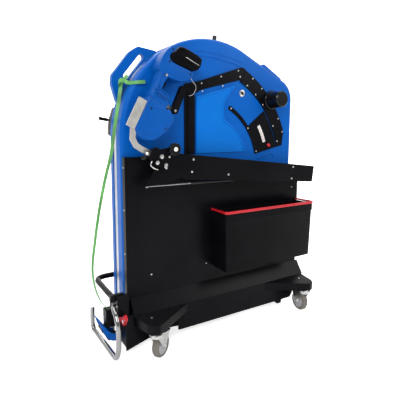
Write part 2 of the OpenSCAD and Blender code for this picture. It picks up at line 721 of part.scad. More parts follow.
module control_bracket() translate(-mid) color([0.42, 0.39, 0.34]) difference() {
  upright(back_y + 0.3, 20) offset(r = 8) offset(delta = -8) polygon([
    [-476, 1046], [-490, 1004], [-499, 962], [-500, 930], [-492, 918], [-436, 918], [-436, 1046]
  ]);
  translate([-520, back_y + 10, 986]) rotate([0, 90, 0]) cylinder(h = 51, r = 9, $fn = 32);
  bar_y(-476, 986, back_y - 1, back_y + 22, 3 + run, 32);
}

module control_lever() translate(-mid) color(black) {
  bar_y(-476, 986, back_y + 0.6, back_y + 20, 3, 32);
  translate([-476, back_y + 10, 986]) rotate([0, -80, 0]) {
    cylinder(h = 30, r = 5, $fn = 24);
    translate([0, 0, 26]) cylinder(h = 38, r = 7.5, $fn = 32);
  }
}

// ---- strap ----

strap_path = curve([
  [-462, 262, 1142], [-466, 256, 1124], [-478, 245, 1074], [-495, 222, 1028], [-506, 222, 967],
  [-510, 250, 881], [-518, 266, 815], [-533, 276, 750], [-554, 274, 665], [-570, 273, 590],
  [-584, 272, 512], [-594, 272, 446], [-603, 270, 390], [-608, 267, 336], [-606, 262, 289],
  [-598, 256, 243], [-584, 244, 200], [-568, 232, 176], [-562, 227, 165.1]
], 4);

module strap() translate(-mid) color([0.42, 0.78, 0.42])
  sweep(strap_path, strap_w, strap_t, [0.86, -0.5, 0], 8, -60);

tail_path = curve([
  [-430, 262, 1182], [-442, 264, 1168], [-456, 268, 1150], [-470, 258, 1138], [-478, 244, 1146],
  [-468, 236, 1158], [-454, 232, 1152], [-446, 224, 1146], [-442, 208, 1143], [-438, 188, 1142],
  [-424, 171, 1143], [-390, 165, 1146]
], 4);

module strap_knot() translate(-mid) color([0.42, 0.78, 0.42])
  sweep(tail_path, strap_w, strap_t + 0.4, [0.3, 0.2, 1], 8);

base_deck();
front_ledge();
front_apron();
front_panel();
rear_panel();
screws();
front_shell();
seam_frame();
rear_shell();
cover_panel();
trim_strips();
trim_arc();
control_plate();
scale_label();
big_knob();
red_button();
top_peg();
exit_box();
red_latch();
guide_loop();
bumper_frame();
sled_nose();
lance_chain();
drive_sprocket();
drive_motor();
caster_plates();
caster_fork(0);  // fork_front_left
caster_fork(1);  // fork_front_right
caster_fork(2);  // fork_rear_left
caster_fork(3);  // fork_rear_right
tyre(0);  // tyre_front_left
tyre(1);  // tyre_front_right
tyre(2);  // tyre_rear_left
tyre(3);  // tyre_rear_right
hub(0);  // hub_front_left
hub(1);  // hub_front_right
hub(2);  // hub_rear_left
hub(3);  // hub_rear_right
brake_pedal(0);  // pedal_front_left
brake_pedal(1);  // pedal_front_right
lift_arm();
arm_bolts();
hinge_bracket();
strut_tube();
strut_rod();
clamp_block();
clamp_lever();
round_knob();
tool_holder();
tool_body();
tool_battery();
tool_lever();
tool_pins();
tool_trigger();
bin_body();
bin_rim();
control_bracket();
control_lever();
strap();
strap_knot();
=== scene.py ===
import bmesh
import bpy
import numpy as np
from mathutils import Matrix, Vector


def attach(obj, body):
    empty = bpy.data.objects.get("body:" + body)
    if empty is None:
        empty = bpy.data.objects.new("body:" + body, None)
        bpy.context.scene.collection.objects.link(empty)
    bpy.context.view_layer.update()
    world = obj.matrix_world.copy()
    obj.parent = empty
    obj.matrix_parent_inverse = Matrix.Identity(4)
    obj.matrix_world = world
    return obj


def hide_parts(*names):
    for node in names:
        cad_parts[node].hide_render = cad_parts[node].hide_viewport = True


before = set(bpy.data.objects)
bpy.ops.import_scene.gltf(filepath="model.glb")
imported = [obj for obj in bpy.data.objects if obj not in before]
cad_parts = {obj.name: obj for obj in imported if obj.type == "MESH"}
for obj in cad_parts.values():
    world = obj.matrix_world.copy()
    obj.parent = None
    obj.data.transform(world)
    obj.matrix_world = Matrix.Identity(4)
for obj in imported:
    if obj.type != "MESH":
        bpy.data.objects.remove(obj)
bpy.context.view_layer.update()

# The workshop drawing's zero, in millimetres, seen from the cart's own centre line at floor level.
DRAWING_CENTRE = np.array([-35.0, 205.0, 0.0])
# The hand tool's foot on the drawing, its front face and its tilt.
TOOL_FOOT = np.array([-400.0, 84.0, 915.0])
TOOL_TILT = np.radians(26.9)


def place(points):
    """Drawing millimetres to metres about the cart's centre: take the centre away, divide by a thousand."""
    return (np.asarray(points, float) - DRAWING_CENTRE) / 1000


def on_tool(across, along, depth):
    """The tool's own axes laid into the drawing: across and along are turned by the tilt in X and Z, and
    depth is Y."""
    across, along, depth = np.broadcast_arrays(
        *(np.asarray(v, float) for v in (across, along, depth)))
    return TOOL_FOOT + np.stack([
        across * np.cos(TOOL_TILT) + along * np.sin(TOOL_TILT),
        depth,
        along * np.cos(TOOL_TILT) - across * np.sin(TOOL_TILT)], -1)


# ---- camera ----

camera_data = bpy.data.cameras.new("studio_camera")
camera_data.sensor_width = 36
camera_data.lens = 34.65
camera_data.shift_x = 0.025
camera_data.shift_y = -0.06
camera = bpy.data.objects.new("studio_camera", camera_data)
bpy.context.scene.collection.objects.link(camera)
camera.location = place([-1058.5, -1350, 950])
camera.rotation_euler = Vector((0.5008, 0.857, -0.1212)).to_track_quat("-Z", "Y").to_euler()
bpy.context.scene.camera = camera


# ---- surfaces ----

def smooth_path(points, steps):
    """A Catmull-Rom line: each span is the cubic through its two points, leaning on the points before and
    after."""
    p = np.asarray(points, float)
    before, after = np.vstack([p[:1], p[:-2]]), np.vstack([p[2:], p[-1:]])
    a, b = p[:-1, None], p[1:, None]
    before, after = before[:, None], after[:, None]
    t = (np.arange(steps) / steps)[None, :, None]
    line = 0.5 * (2 * a + (b - before) * t + (2 * before - 5 * a + 4 * b - after) * t ** 2
                  + (3 * a - before - 3 * b + after) * t ** 3)
    return np.vstack([line.reshape(-1, p.shape[1]), p[-1:]])


def unit(v):
    """Each vector divided by its own length."""
    return v / np.linalg.norm(v, axis=-1, keepdims=True)


def carried(path, profile, guide):
    """A profile carried along a path: each ring is the path point plus the profile's first number times the
    guide direction squared up to the path, plus its second number times the direction across both."""
    ahead = np.vstack([path[1:], path[-1:]]) - np.vstack([path[:1], path[:-1]])
    t = unit(ahead)
    g = np.broadcast_to(np.asarray(guide, float), t.shape)
    u = unit(g - (g * t).sum(-1, keepdims=True) * t)
    v = np.cross(t, u)
    return path[:, None] + u[:, None] * profile[None, :, :1] + v[:, None] * profile[None, :, 1:]


def oval(width, height, count, squareness=2.0):
    """A superellipse: cosine and sine of the angle, each raised to two over the squareness, times half the
    sizes."""
    a = np.arange(count) / count * 2 * np.pi
    c, s = np.cos(a), np.sin(a)
    k = 2 / squareness
    return np.stack([np.sign(c) * np.abs(c) ** k * width / 2,
                     np.sign(s) * np.abs(s) ** k * height / 2], -1)


def tube(grid, closed=False):
    """Rings of points joined into a skin: each ring to the next, each point to its neighbour, and flat ends
    capped."""
    rings, around = grid.shape[:2]
    n = rings if closed else rings - 1
    i, k = np.meshgrid(np.arange(n), np.arange(around), indexing="ij")
    j, m = (i + 1) % rings, (k + 1) % around
    quads = np.stack([i * around + k, j * around + k, j * around + m, i * around + m], -1).reshape(-1, 4)
    faces = quads.tolist()
    if not closed:
        faces += [list(range(around))[::-1], list(range((rings - 1) * around, rings * around))]
    return grid.reshape(-1, 3), faces


def softened(points, times=2):
    """Corner cutting on a closed outline: every side keeps its middle half, so each round makes it
    smoother."""
    p = np.asarray(points, float)
    for _ in range(times):
        q = np.roll(p, -1, axis=0)
        p = np.stack([0.75 * p + 0.25 * q, 0.25 * p + 0.75 * q], 1).reshape(-1, p.shape[1])
    return p


def inset(outline, amount):
    """A closed outline moved inwards: each point goes along the mean of its two side normals, by the mitre
    length."""
    after = unit(np.roll(outline, -1, axis=0) - outline)
    before = np.roll(after, 1, axis=0)
    n1 = np.stack([-before[:, 1], before[:, 0]], -1)
    n2 = np.stack([-after[:, 1], after[:, 0]], -1)
    x, z = outline.T
    area = 0.5 * np.sum(x * np.roll(z, -1) - np.roll(x, -1) * z)
    both = (n1 + n2) / np.maximum(1 + (n1 * n2).sum(-1, keepdims=True), 0.35)
    return outline + np.sign(area) * both * amount


def edge_steps(depth, radius, steps):
    """A quarter round at both ends of a depth: pairs of how far in and how far along, by sine and cosine."""
    a = np.linspace(0, np.pi / 2, steps + 1)
    front = np.stack([radius * (1 - np.sin(a)), radius * (1 - np.cos(a))], -1)
    back = front[::-1] * [1, -1] + [0, depth]
    return np.vstack([front, back])


def slab(outline, y0, y1, radius, lay, steps=4):
    """A plate with rounded edges: the outline is repeated through the depth, moved in by the quarter
    round."""
    rows = [lay(ring[:, 0], ring[:, 1], y0 + along)
            for ring, along in ((inset(outline, i), a) for i, a in edge_steps(y1 - y0, radius, steps))]
    return tube(np.stack(rows))


def drawn(x, z, y):
    """Across, up and depth on the drawing, put in the order X, Y, Z."""
    return np.stack(np.broadcast_arrays(*(np.asarray(v, float) for v in (x, y, z))), -1)


def turned(profile, centre, axis, count=24):
    """A profile of radius and distance turned about an axis: rings of cosine and sine around it, ends
    closed."""
    axis = unit(np.asarray(axis, float))
    side = unit(np.cross(axis, [0.3, 0.5, 0.81]))
    other = np.cross(axis, side)
    a = np.arange(count) / count * 2 * np.pi
    around = np.cos(a)[:, None] * side + np.sin(a)[:, None] * other
    profile = np.asarray(profile, float)
    grid = (np.asarray(centre, float) + profile[:, None, 1:] * axis
            + np.maximum(profile[:, None, :1], 0.01) * around[None])
    return tube(grid)


def piece(name, parts, body, material, sharp=40, replaces=()):
    """Joins skins drawn in millimetres into one object at the origin, faces outwards, soft below the given
    angle."""
    start, points, faces = 0, [], []
    for p, f in parts:
        points.append(place(p))
        faces += [[v + start for v in face] for face in f]
        start += len(p)
    mesh = bpy.data.meshes.new(name)
    mesh.from_pydata(np.vstack(points).tolist(), [], faces)
    work = bmesh.new()
    work.from_mesh(mesh)
    bmesh.ops.recalc_face_normals(work, faces=work.faces)
    work.to_mesh(mesh)
    work.free()
    mesh.shade_smooth()
    mesh.set_sharp_from_angle(angle=np.radians(sharp))
    obj = bpy.data.objects.new(name, mesh)
    bpy.context.scene.collection.objects.link(obj)
    mesh.materials.append(material)
    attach(obj, body)
    if replaces:
        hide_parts(*replaces)
    return obj


# ---- finishes ----

def finish(name, colour, rough, metal=0.0, coat=0.0, grain=900.0, bump=0.1, deep=0.0002, mottle=0.12,
           cloud=6.0, stretch=(1, 1, 1), soft_edge=0.0, rough_spread=0.06, specular=0.5, top_sheen=0.0):
    """A worked surface: slow clouds vary the colour, fine grain lifts the surface and changes its gloss, and
    what faces up is mixed towards a pale warm grey, a painted sheen of the light from above."""
    m = bpy.data.materials.new(name)
    m.use_nodes = True
    n, l = m.node_tree.nodes, m.node_tree.links
    shader = n["Principled BSDF"]
    shader.inputs["Metallic"].default_value = metal
    shader.inputs["Coat Weight"].default_value = coat
    shader.inputs["Coat Roughness"].default_value = 0.12
    shader.inputs["Specular IOR Level"].default_value = specular
    where = n.new("ShaderNodeTexCoord")
    turn = n.new("ShaderNodeMapping")
    turn.inputs["Scale"].default_value = stretch
    l.new(where.outputs["Object"], turn.inputs["Vector"])
    clouds = n.new("ShaderNodeTexNoise")
    clouds.inputs["Scale"].default_value = cloud
    clouds.inputs["Detail"].default_value = 6
    l.new(where.outputs["Object"], clouds.inputs["Vector"])
    fine = n.new("ShaderNodeTexNoise")
    fine.inputs["Scale"].default_value = grain
    fine.inputs["Detail"].default_value = 3
    l.new(turn.outputs["Vector"], fine.inputs["Vector"])
    ramp = n.new("ShaderNodeValToRGB")
    c = np.asarray(colour, float)
    ramp.color_ramp.elements[0].position = 0.3
    ramp.color_ramp.elements[1].position = 0.7
    ramp.color_ramp.elements[0].color = (*np.clip(c * (1 - mottle), 0, 1), 1)
    ramp.color_ramp.elements[1].color = (*np.clip(c * (1 + mottle) + 0.002, 0, 1), 1)
    l.new(clouds.outputs["Fac"], ramp.inputs["Fac"])
    paint = ramp.outputs["Color"]
    # Painted sheen: faces that look up are mixed towards a pale warm grey, standing in for light falling on
    # top.
    if top_sheen:
        face = n.new("ShaderNodeNewGeometry")
        split = n.new("ShaderNodeSeparateXYZ")
        l.new(face.outputs["Normal"], split.inputs["Vector"])
        up = n.new("ShaderNodeMapRange")
        up.inputs["From Min"].default_value = 0.4
        up.inputs["To Max"].default_value = top_sheen
        l.new(split.outputs["Z"], up.inputs["Value"])
        mix = n.new("ShaderNodeMix")
        mix.data_type = "RGBA"
        l.new(up.outputs["Result"], mix.inputs["Factor"])
        l.new(paint, mix.inputs["A"])
        mix.inputs["B"].default_value = (0.45, 0.42, 0.4, 1)
        paint = mix.outputs["Result"]
    l.new(paint, shader.inputs["Base Color"])
    gloss = n.new("ShaderNodeMapRange")
    gloss.inputs["To Min"].default_value = max(rough - rough_spread, 0.02)
    gloss.inputs["To Max"].default_value = rough + rough_spread
    l.new(fine.outputs["Fac"], gloss.inputs["Value"])
    l.new(gloss.outputs["Result"], shader.inputs["Roughness"])
    lift = n.new("ShaderNodeBump")
    lift.inputs["Strength"].default_value = bump
    lift.inputs["Distance"].default_value = deep
    l.new(fine.outputs["Fac"], lift.inputs["Height"])
    if soft_edge:
        edge = n.new("ShaderNodeBevel")
        edge.samples = 6
        edge.inputs["Radius"].default_value = soft_edge
        l.new(edge.outputs["Normal"], lift.inputs["Normal"])
    l.new(lift.outputs["Normal"], shader.inputs["Normal"])
    return m


# The black frame gets a faint painted sheen on its upper faces.
powder_black = finish("powder_black", (0.002, 0.002, 0.0035), 0.3, grain=1600, bump=0.2, mottle=0.3,
                      soft_edge=0.0015, specular=0.1, top_sheen=0.015)
shell_blue = finish("shell_blue", (0.0, 0.112, 0.50), 0.3, grain=1100, bump=0.1, mottle=0.06,
                    soft_edge=0.004, specular=0.12)
cover_blue = finish("cover_blue", (0.0, 0.17, 0.66), 0.34, grain=1100, bump=0.1, mottle=0.05,
                    soft_edge=0.003, specular=0.12)
tool_shell_blue = finish("tool_shell_blue", (0.0, 0.088, 0.40), 0.36, grain=1300, bump=0.3, mottle=0.08,
                         specular=0.14)
# A dark blue painted in as the shade inside the collar's grooves.
groove_shade_blue = finish("groove_shade_blue", (0.0, 0.02, 0.12), 0.4, grain=1300, bump=0.3, mottle=0.08,
                        specular=0.1)
grained_black = finish("grained_black", (0.003, 0.003, 0.004), 0.36, grain=1500, bump=0.3, mottle=0.25,
                       soft_edge=0.001, specular=0.06)
knob_black = finish("knob_black", (0.003, 0.003, 0.004), 0.22, grain=900, bump=0.06, soft_edge=0.002,
                    specular=0.3)
zinc_plate = finish("zinc_plate", (0.66, 0.66, 0.64), 0.3, metal=1, grain=500, bump=0.1, mottle=0.2,
                    cloud=60, soft_edge=0.0008)
ground_steel = finish("ground_steel", (0.72, 0.70, 0.66), 0.36, metal=0.85, grain=260, stretch=(1, 1, 12),
                      bump=0.25, mottle=0.14, cloud=30)
bare_aluminium = finish("bare_aluminium", (0.56, 0.57, 0.58), 0.32, metal=1, grain=240, stretch=(14, 1, 1),
                        bump=0.2, mottle=0.12, cloud=12)
chrome_tube = finish("chrome_tube", (0.36, 0.36, 0.36), 0.13, metal=1, grain=300, bump=0.03, mottle=0.05,
                     rough_spread=0.03)
cast_grey = finish("cast_grey", (0.2, 0.2, 0.21), 0.5, grain=700, bump=0.5, mottle=0.2)
# The hubs get a painted sheen on their upper faces.
hub_grey = finish("hub_grey", (0.52, 0.52, 0.54), 0.4, grain=1200, bump=0.2, mottle=0.08, top_sheen=0.1)
tread_grey = finish("tread_grey", (0.17, 0.155, 0.135), 0.62, grain=800, bump=0.5, mottle=0.2,
                    cloud=40)
red_mould = finish("red_mould", (0.6, 0.008, 0.02), 0.35, grain=900, bump=0.1, mottle=0.1)
printed_white = finish("printed_white", (0.82, 0.82, 0.8), 0.45, grain=1200, bump=0.05, mottle=0.04)
bracket_tan = finish("bracket_tan", (0.16, 0.145, 0.12), 0.5, grain=800, bump=0.3, mottle=0.2,
                     soft_edge=0.001)
oiled_black = finish("oiled_black", (0.01, 0.01, 0.011), 0.3, metal=0.5, grain=600, bump=0.25, mottle=0.4)
gloss_black = finish("gloss_black", (0.004, 0.004, 0.005), 0.15, grain=500, bump=0.05, specular=0.4)


def strap_finish():
    """Extruded strap: shallow cross ribs from a fine wave along its length, translucent green with
    streaks."""
    m = finish("strap_green", (0.13, 0.42, 0.11), 0.4, grain=400, stretch=(1, 1, 0.1), bump=0.1, mottle=0.3,
               cloud=14)
    n, l = m.node_tree.nodes, m.node_tree.links
    shader = n["Principled BSDF"]
    shader.inputs["Transmission Weight"].default_value = 0.12
    lengthwise = n.new("ShaderNodeUVMap")
    lengthwise.uv_map = "along"
    ribs = n.new("ShaderNodeTexWave")
    ribs.inputs["Scale"].default_value = 60
    l.new(lengthwise.outputs["UV"], ribs.inputs["Vector"])
    emboss = n.new("ShaderNodeBump")
    emboss.inputs["Strength"].default_value = 0.25
    emboss.inputs["Distance"].default_value = 0.0003
    l.new(ribs.outputs["Fac"], emboss.inputs["Height"])
    old = shader.inputs["Normal"].links[0].from_socket
    l.new(old, emboss.inputs["Normal"])
    l.new(emboss.outputs["Normal"], shader.inputs["Normal"])
    return m


strap_green = strap_finish()


# ---- the loose strap ----

STRAP_ROUTE = [
    [-462, 262, 1142], [-466, 256, 1124], [-478, 245, 1074], [-495, 222, 1028], [-506, 222, 967],
    [-510, 250, 881], [-518, 266, 815], [-533, 276, 750], [-554, 274, 665], [-570, 273, 590],
    [-584, 272, 512], [-594, 272, 446], [-603, 270, 390], [-608, 267, 336], [-606, 262, 289],
    [-598, 256, 243], [-584, 244, 200], [-568, 232, 176], [-562, 227, 165.1]]
TAIL_ROUTE = [
    [-430, 262, 1182], [-442, 264, 1168], [-456, 268, 1150], [-470, 258, 1138], [-478, 244, 1146],
    [-468, 236, 1158], [-454, 232, 1152], [-446, 224, 1146], [-442, 208, 1143], [-438, 188, 1142],
    [-424, 171, 1143], [-390, 165, 1146]]


def with_length(obj, rings, around, total):
    """Gives a strap its own map: the distance along it in one direction, the way around it in the other."""
    layer = obj.data.uv_layers.new(name="along")
    index = np.empty(len(obj.data.loops), int)
    obj.data.loops.foreach_get("vertex_index", index)
    uv = np.stack([index // around / (rings - 1) * total, (index % around) / around], -1)
    layer.data.foreach_set("uv", uv.ravel())


STRAP_WIDTH, STRAP_THICKNESS, BAND_POINTS = 16, 1.3, 16
TAIL_METRES = 0.2
TWIST_DEGREES = -50  # how far the strap turns on its way down

band = oval(STRAP_WIDTH, STRAP_THICKNESS, BAND_POINTS, 5)
strap_line = smooth_path(STRAP_ROUTE, 8)
turn = np.radians(np.linspace(0, TWIST_DEGREES, len(strap_line)))
wide = np.stack([0.86 * np.cos(turn) + 0.5 * np.sin(turn),
                 0.86 * np.sin(turn) - 0.5 * np.cos(turn), 0 * turn], -1)
strap = piece("strap_band", [tube(carried(strap_line, band, wide))], "chassis", strap_green,
              replaces=["strap"])
strap_path = place(strap_line[::-1])
strap_length = float(np.linalg.norm(np.diff(strap_path, axis=0), axis=1).sum())
with_length(strap, len(strap_line), BAND_POINTS, strap_length)

tail_line = smooth_path(TAIL_ROUTE, 8)
knot = piece("strap_knot_band", [tube(carried(tail_line, band * [1, 1.2], [0.3, 0.2, 1.0]))], "chassis",
             strap_green, replaces=["strap_knot"])
with_length(knot, len(tail_line), BAND_POINTS, TAIL_METRES)


# ---- tubes at the left foot ----

LOOP_DIAMETER = 21
LOOP_ROUTE = [
    [-590, 352, 132], [-590, 356, 90], [-589, 360, 44], [-587, 346, 20], [-583, 310, 16], [-577, 110, 16],
    [-575, 80, 19], [-574, 62, 36], [-573, 50, 72], [-572, 48, 130], [-573, 54, 172], [-573, 72, 200],
    [-572, 94, 213], [-568, 114, 217], [-562, 123, 217], [-556, 125, 217], [-550.8, 125, 217]]
piece("guide_loop_tube",
      [tube(carried(smooth_path(LOOP_ROUTE, 9), oval(LOOP_DIAMETER, LOOP_DIAMETER, 28), [0.6, -0.55, 0.6]))],
      "chassis", chrome_tube, replaces=["guide_loop"])


# ---- fixings ----

def dome(x, z, y, radius, count=14):
    """A pan head on a face that looks to the front: a flat rim, a low crown and a small round recess."""
    profile = radius * np.array([[0, 0], [1, 0], [1, 0.25], [0.86, 0.45], [0.5, 0.6], [0.32, 0.62],
                                 [0.28, 0.35], [0, 0.35]])
    return turned(profile, [x, y, z], [0, -1, 0], count)


# The dial's centre on the drawing, across and up.
DIAL = np.array([-110.0, 752.0])
# How far back each front face lies on the drawing, in millimetres.
SHEET_FACE, TRIM_FACE, PLATE_FACE, SHELL_FACE, ARM_FACE, CLAMP_FACE = 149, 172, 174, 178, 80, 60


def around_dial(radius, degrees):
    """A point on a circle about the dial: cosine and sine of the angle times the radius."""
    a = np.radians(degrees)
    return DIAL[0] + radius * np.cos(a), DIAL[1] + radius * np.sin(a)


SCREW, SMALL_SCREW, ARM_SCREW = 4.2, 4, 5
heads = [dome(x, z, SHEET_FACE, SMALL_SCREW) for x, z in [[-380, 312], [-92, 312], [452, 640], [452, 250]]]
heads += [dome(*around_dial(536, a), TRIM_FACE, SCREW) for a in (20, 28, 48, 56)]
heads += [dome(*around_dial(488, a), TRIM_FACE, SCREW) for a in (16, 26, 41, 49, 57)]
heads += [dome(x, z, TRIM_FACE, SCREW)
          for x, z in [[-108, 1157], [0, 1194], [100, 1228], [-104, 1122], [10, 1152], [112, 1200]]]
heads += [dome(*around_dial(342, a), PLATE_FACE, SCREW) for a in (14.5, 36, 60)]
heads += [turned([[0, 0], [4, 0], [4, 1.4], [2.4, 2.2], [0, 2.2]], [-495, 163, z], [-1, 0, 0], 14)
          for z in (230, 420, 610, 790)]
heads += [turned([[0, 0], [5.5, 0], [5, 1.6], [2, 2.2], [0, 2.2]], [x, 60, 160], [0, 0, 1], 16)
          for x in (8 - 430, 8 + 430)]
LOCK_X, LOCK_Z = 129, 1123
heads.append(turned([[0, 0], [16.5, 0], [16.5, 2.2], [15.5, 3], [9, 3], [8, 2.2], [7.4, 0.6], [0, 0.6]],
                    [LOCK_X, SHELL_FACE, LOCK_Z], [0, -1, 0], 40))
heads.append(turned([[0, 0], [5, 0], [5, 12.6], [8, 12.6], [8, 15], [6.5, 16], [0, 16]], [-520, 104, 152],
                    [-1, 0, 0], 28))
piece("lock_core", [turned([[0, 0], [7.6, 0], [7.6, 2.0], [6, 2.4], [0, 2.4]],
                           [LOCK_X, SHELL_FACE - 0.6, LOCK_Z], [0, -1, 0], 24)],
      "chassis", oiled_black)
piece("fixings", heads, "chassis", zinc_plate, replaces=["screws"])

arm_heads = [dome(x, z, ARM_FACE, ARM_SCREW, 18)
             for x, z in [[389, 757], [381, 698], [-205, 819], [-213, 765], [-18, 742]]]
arm_heads.append(turned([[0, 0], [9, 0], [9, 4], [7.5, 6.3], [0, 6.5]], [-350, CLAMP_FACE, 803],
                        [0, -1, 0], 6))
arm_heads.append(dome(-322, 834, ARM_FACE, ARM_SCREW, 16))
arm_heads.append(turned([[0, 0], [5, 0], [5, 18], [8, 18], [8, 21], [6, 22], [0, 22]],
                        [-396, CLAMP_FACE, 816], [0, -1, 0], 28))
piece("arm_fixings", arm_heads, "arm", zinc_plate, replaces=["arm_bolts"])


# An angled stud, two heads on the clamp's face and a short bent wire.
clamp_bits = [
    turned([[0, 0], [7, 0], [7, 3], [4, 5], [4, 14], [6, 15], [6, 19], [0, 20]], [-424, 72, 848],
           [-0.5, -0.6, 0.3], 20),
    turned([[0, 0], [9, 0], [9.5, 2], [8, 5], [3, 6], [0, 6]], [-368, CLAMP_FACE, 838], [0, -1, 0], 22),
    turned([[0, 0], [5, 0], [5, 3], [7, 3], [7, 5.5], [0, 6]], [-352, CLAMP_FACE, 792], [0, -1, 0], 20),
    tube(carried(smooth_path([[-412, 57, 822], [-418, 56.6, 806], [-404, 56.6, 792], [-386, 56.6, 786]], 6),
                 oval(5.6, 5.6, 12), [0.3, 0.9, 0.3]))]
piece("clamp_hardware", clamp_bits, "arm", zinc_plate)
piece("clamp_grip", [turned([[0, 0], [8, 0], [10, 3], [10, 16], [8, 20], [0, 21]], [-436, 66, 838],
                            [-0.8, -0.5, -0.1], 24)], "arm", knob_black)


# ---- the bin ----

def rounded_frame(x0, x1, y0, y1, radius, count=7):
    """A rectangle with round corners: four quarter circles joined by straight sides."""
    a = np.linspace(0, np.pi / 2, count)
    quarters = [(x1 - radius, y1 - radius, 0), (x0 + radius, y1 - radius, 1), (x0 + radius, y0 + radius, 2),
                (x1 - radius, y0 + radius, 3)]
    arcs = [(cx, cy, a + k * np.pi / 2) for cx, cy, k in quarters]
    return np.vstack([np.stack([cx + radius * np.cos(b), cy + radius * np.sin(b)], -1) for cx, cy, b in arcs])


def bin_wall():
    """A pressed tub: a rounded rectangle carried up through pairs of inset and height, outside up to a lip
    band and back down the inside to the floor."""
    rings = [(9, 292.5), (6.5, 294), (5.5, 300), (0.5, 530), (0, 532), (-2.2, 533), (-2.2, 566),
             (-0.5, 566.9), (2.5, 566.9), (3, 565), (3.2, 530), (8.6, 300), (10, 296), (16, 295.5)]
    frames = [(rounded_frame(-62 + i, 486 - i, 30.7 + i, 146.7 - min(i, 9) * 0.3, 10), z) for i, z in rings]
    return tube(np.stack([np.column_stack([ring, np.full(len(ring), z)]) for ring, z in frames]))


piece("bin_tub", [bin_wall()], "bin", grained_black, replaces=["bin_body"])


def rim_route():
    """The rim's line: down the left side, along the front and up the right side, with round corners."""
    a = np.linspace(0, np.pi / 2, 8)
    left = np.stack([-50 - 13 * np.sin(a[::-1]), 41.7 - 13 * np.cos(a[::-1]), 0 * a], -1)
    right = np.stack([474 + 13 * np.sin(a), 41.7 - 13 * np.cos(a), 0 * a], -1)
    return np.vstack([[[-63, 146, 0]], left, right, [[487, 146, 0]]]) + [0, 0, 573.4]


piece("bin_rim_band", [tube(carried(rim_route(), oval(10, 12.5, 20, 3.5), [0, -1, 0.001]))], "bin",
      red_mould, replaces=["bin_rim"])


# ---- the hand tool ----

CRADLE = [[-98, 290], [-97, 336], [-84, 372], [-62, 398], [-54, 390], [-56, 370], [-74, 346], [-60, 316],
          [60, 338], [58, 312], [46, 290], [20, 268], [-25, 259], [-60, 256], [-90, 262]]
GRIP = [[-78, 172], [-72, 186], [-77, 250], [-86, 272], [-40, 276], [-36, 258], [-44, 230], [-38, 186],
        [-40, 170]]
COLLAR = [[-70, 138], [-78, 160], [-73, 183], [-50, 192], [-18, 190], [13, 163], [8, 138]]
HEAD = [[-78, 150], [-82, 138], [-82, 62], [-91, 26], [-79, -4], [-54, -20], [-20, -22], [9, -16], [30, 6],
        [63, 74], [66, 118], [47, 128], [28, 145]]


def bead(points, width, height, lay, depth, closed=True, steps=6):
    """A raised line on a face: a half-round profile carried along a smooth line that lies on the face."""
    p = np.asarray(points, float)
    if closed:
        p = np.vstack([p, p[:1]])
    line = smooth_path(p, steps)
    if closed:
        line = line[:-1]
        ahead = unit(np.roll(line, -1, axis=0) - np.roll(line, 1, axis=0))
    else:
        ahead = unit(np.vstack([line[1:], line[-1:]]) - np.vstack([line[:1], line[:-1]]))
    side = np.stack([-ahead[:, 1], ahead[:, 0]], -1)
    a = np.linspace(0, np.pi, 7)
    across = np.append(np.cos(a), [-1, 1]) * width / 2
    out = np.append(np.sin(a) * height, [-0.8, -0.8])
    flat = line[:, None] + side[:, None] * across[None, :, None]
    return tube(lay(flat[..., 0], flat[..., 1], depth - out[None, :]), closed=closed)


def rod(points, radius, count=16):
    """A round bar: a circle carried along the points."""
    return tube(carried(np.asarray(points, float), oval(2 * radius, 2 * radius, count), [0.31, 0.9, 0.29]))


tool_parts = [slab(softened(CRADLE, 2), 6, 74, 3.5, on_tool),
              slab(softened(HEAD, 2), 0, 78, 12, on_tool, 6),
              slab(softened(GRIP, 2), 8, 72, 8, on_tool, 5),
              slab(softened(COLLAR, 2), 3, 76, 8, on_tool, 5)]
tool_parts.append(bead([[-76, 184], [-48, 194], [-16, 191], [8, 171]], 5, 2.4, on_tool, 4.4, closed=False))
tool_parts.append(bead([[-58, 112], [-62, 50], [-52, 16], [-22, 4], [4, 14], [40, 78], [40, 104], [4, 124]],
                       6, 1.6, on_tool, 0.2))
tool_parts.append(bead([[-91, 286], [-62, 276], [-28, 274], [16, 284], [40, 302]], 5, 1.8, on_tool, 6.2,
                       closed=False))
tool_parts.append(bead([[-64, 250], [-60, 196]], 4, 1.4, on_tool, 6.2, closed=False))
piece("tool_shell", tool_parts, "tool", tool_shell_blue, replaces=["tool_body"])

# Painted shade: dark bars laid just proud of the collar stand in for the shade inside its grooves.
groove_shade_bars = [slab(softened([[t, 158 + 0.1 * abs(t + 30)], [t + 4.5, 158 + 0.1 * abs(t + 30)],
                        [t + 4.5, 183 - 0.35 * max(t + 34, 0)], [t, 183 - 0.35 * max(t + 34, 0)]], 1),
              2.6, 6, 0.6, on_tool, 2) for t in range(-62, -2, 10)]
piece("collar_groove_shade", groove_shade_bars, "tool", groove_shade_blue)

piece(
    "tool_screws",
    [turned([[0, 0], [4.2, 0], [4.2, 1.2], [2.6, 1.6], [2.2, 0.4], [0, 0.4]], on_tool(t, s, y + 0.4),
            [0, -1, 0], 16)
     for s, t, y in [(368, -70, 6), (316, -62, 6), (320, 45, 6), (104, -53, 0), (136, 10, 0), (259, -56, 6),
                     (60, 40, 0)]],
    "tool", oiled_black)


def wire_hook():
    """A thin round wire bent into an open ring beside the grip."""
    line = smooth_path([[52, 318], [72, 304], [94, 296], [103, 278], [98, 252], [84, 240]], 8)
    return rod(on_tool(line[:, 0], line[:, 1], 18.0), 1.1, 10)


piece("tool_wire", [wire_hook()], "tool", ground_steel)

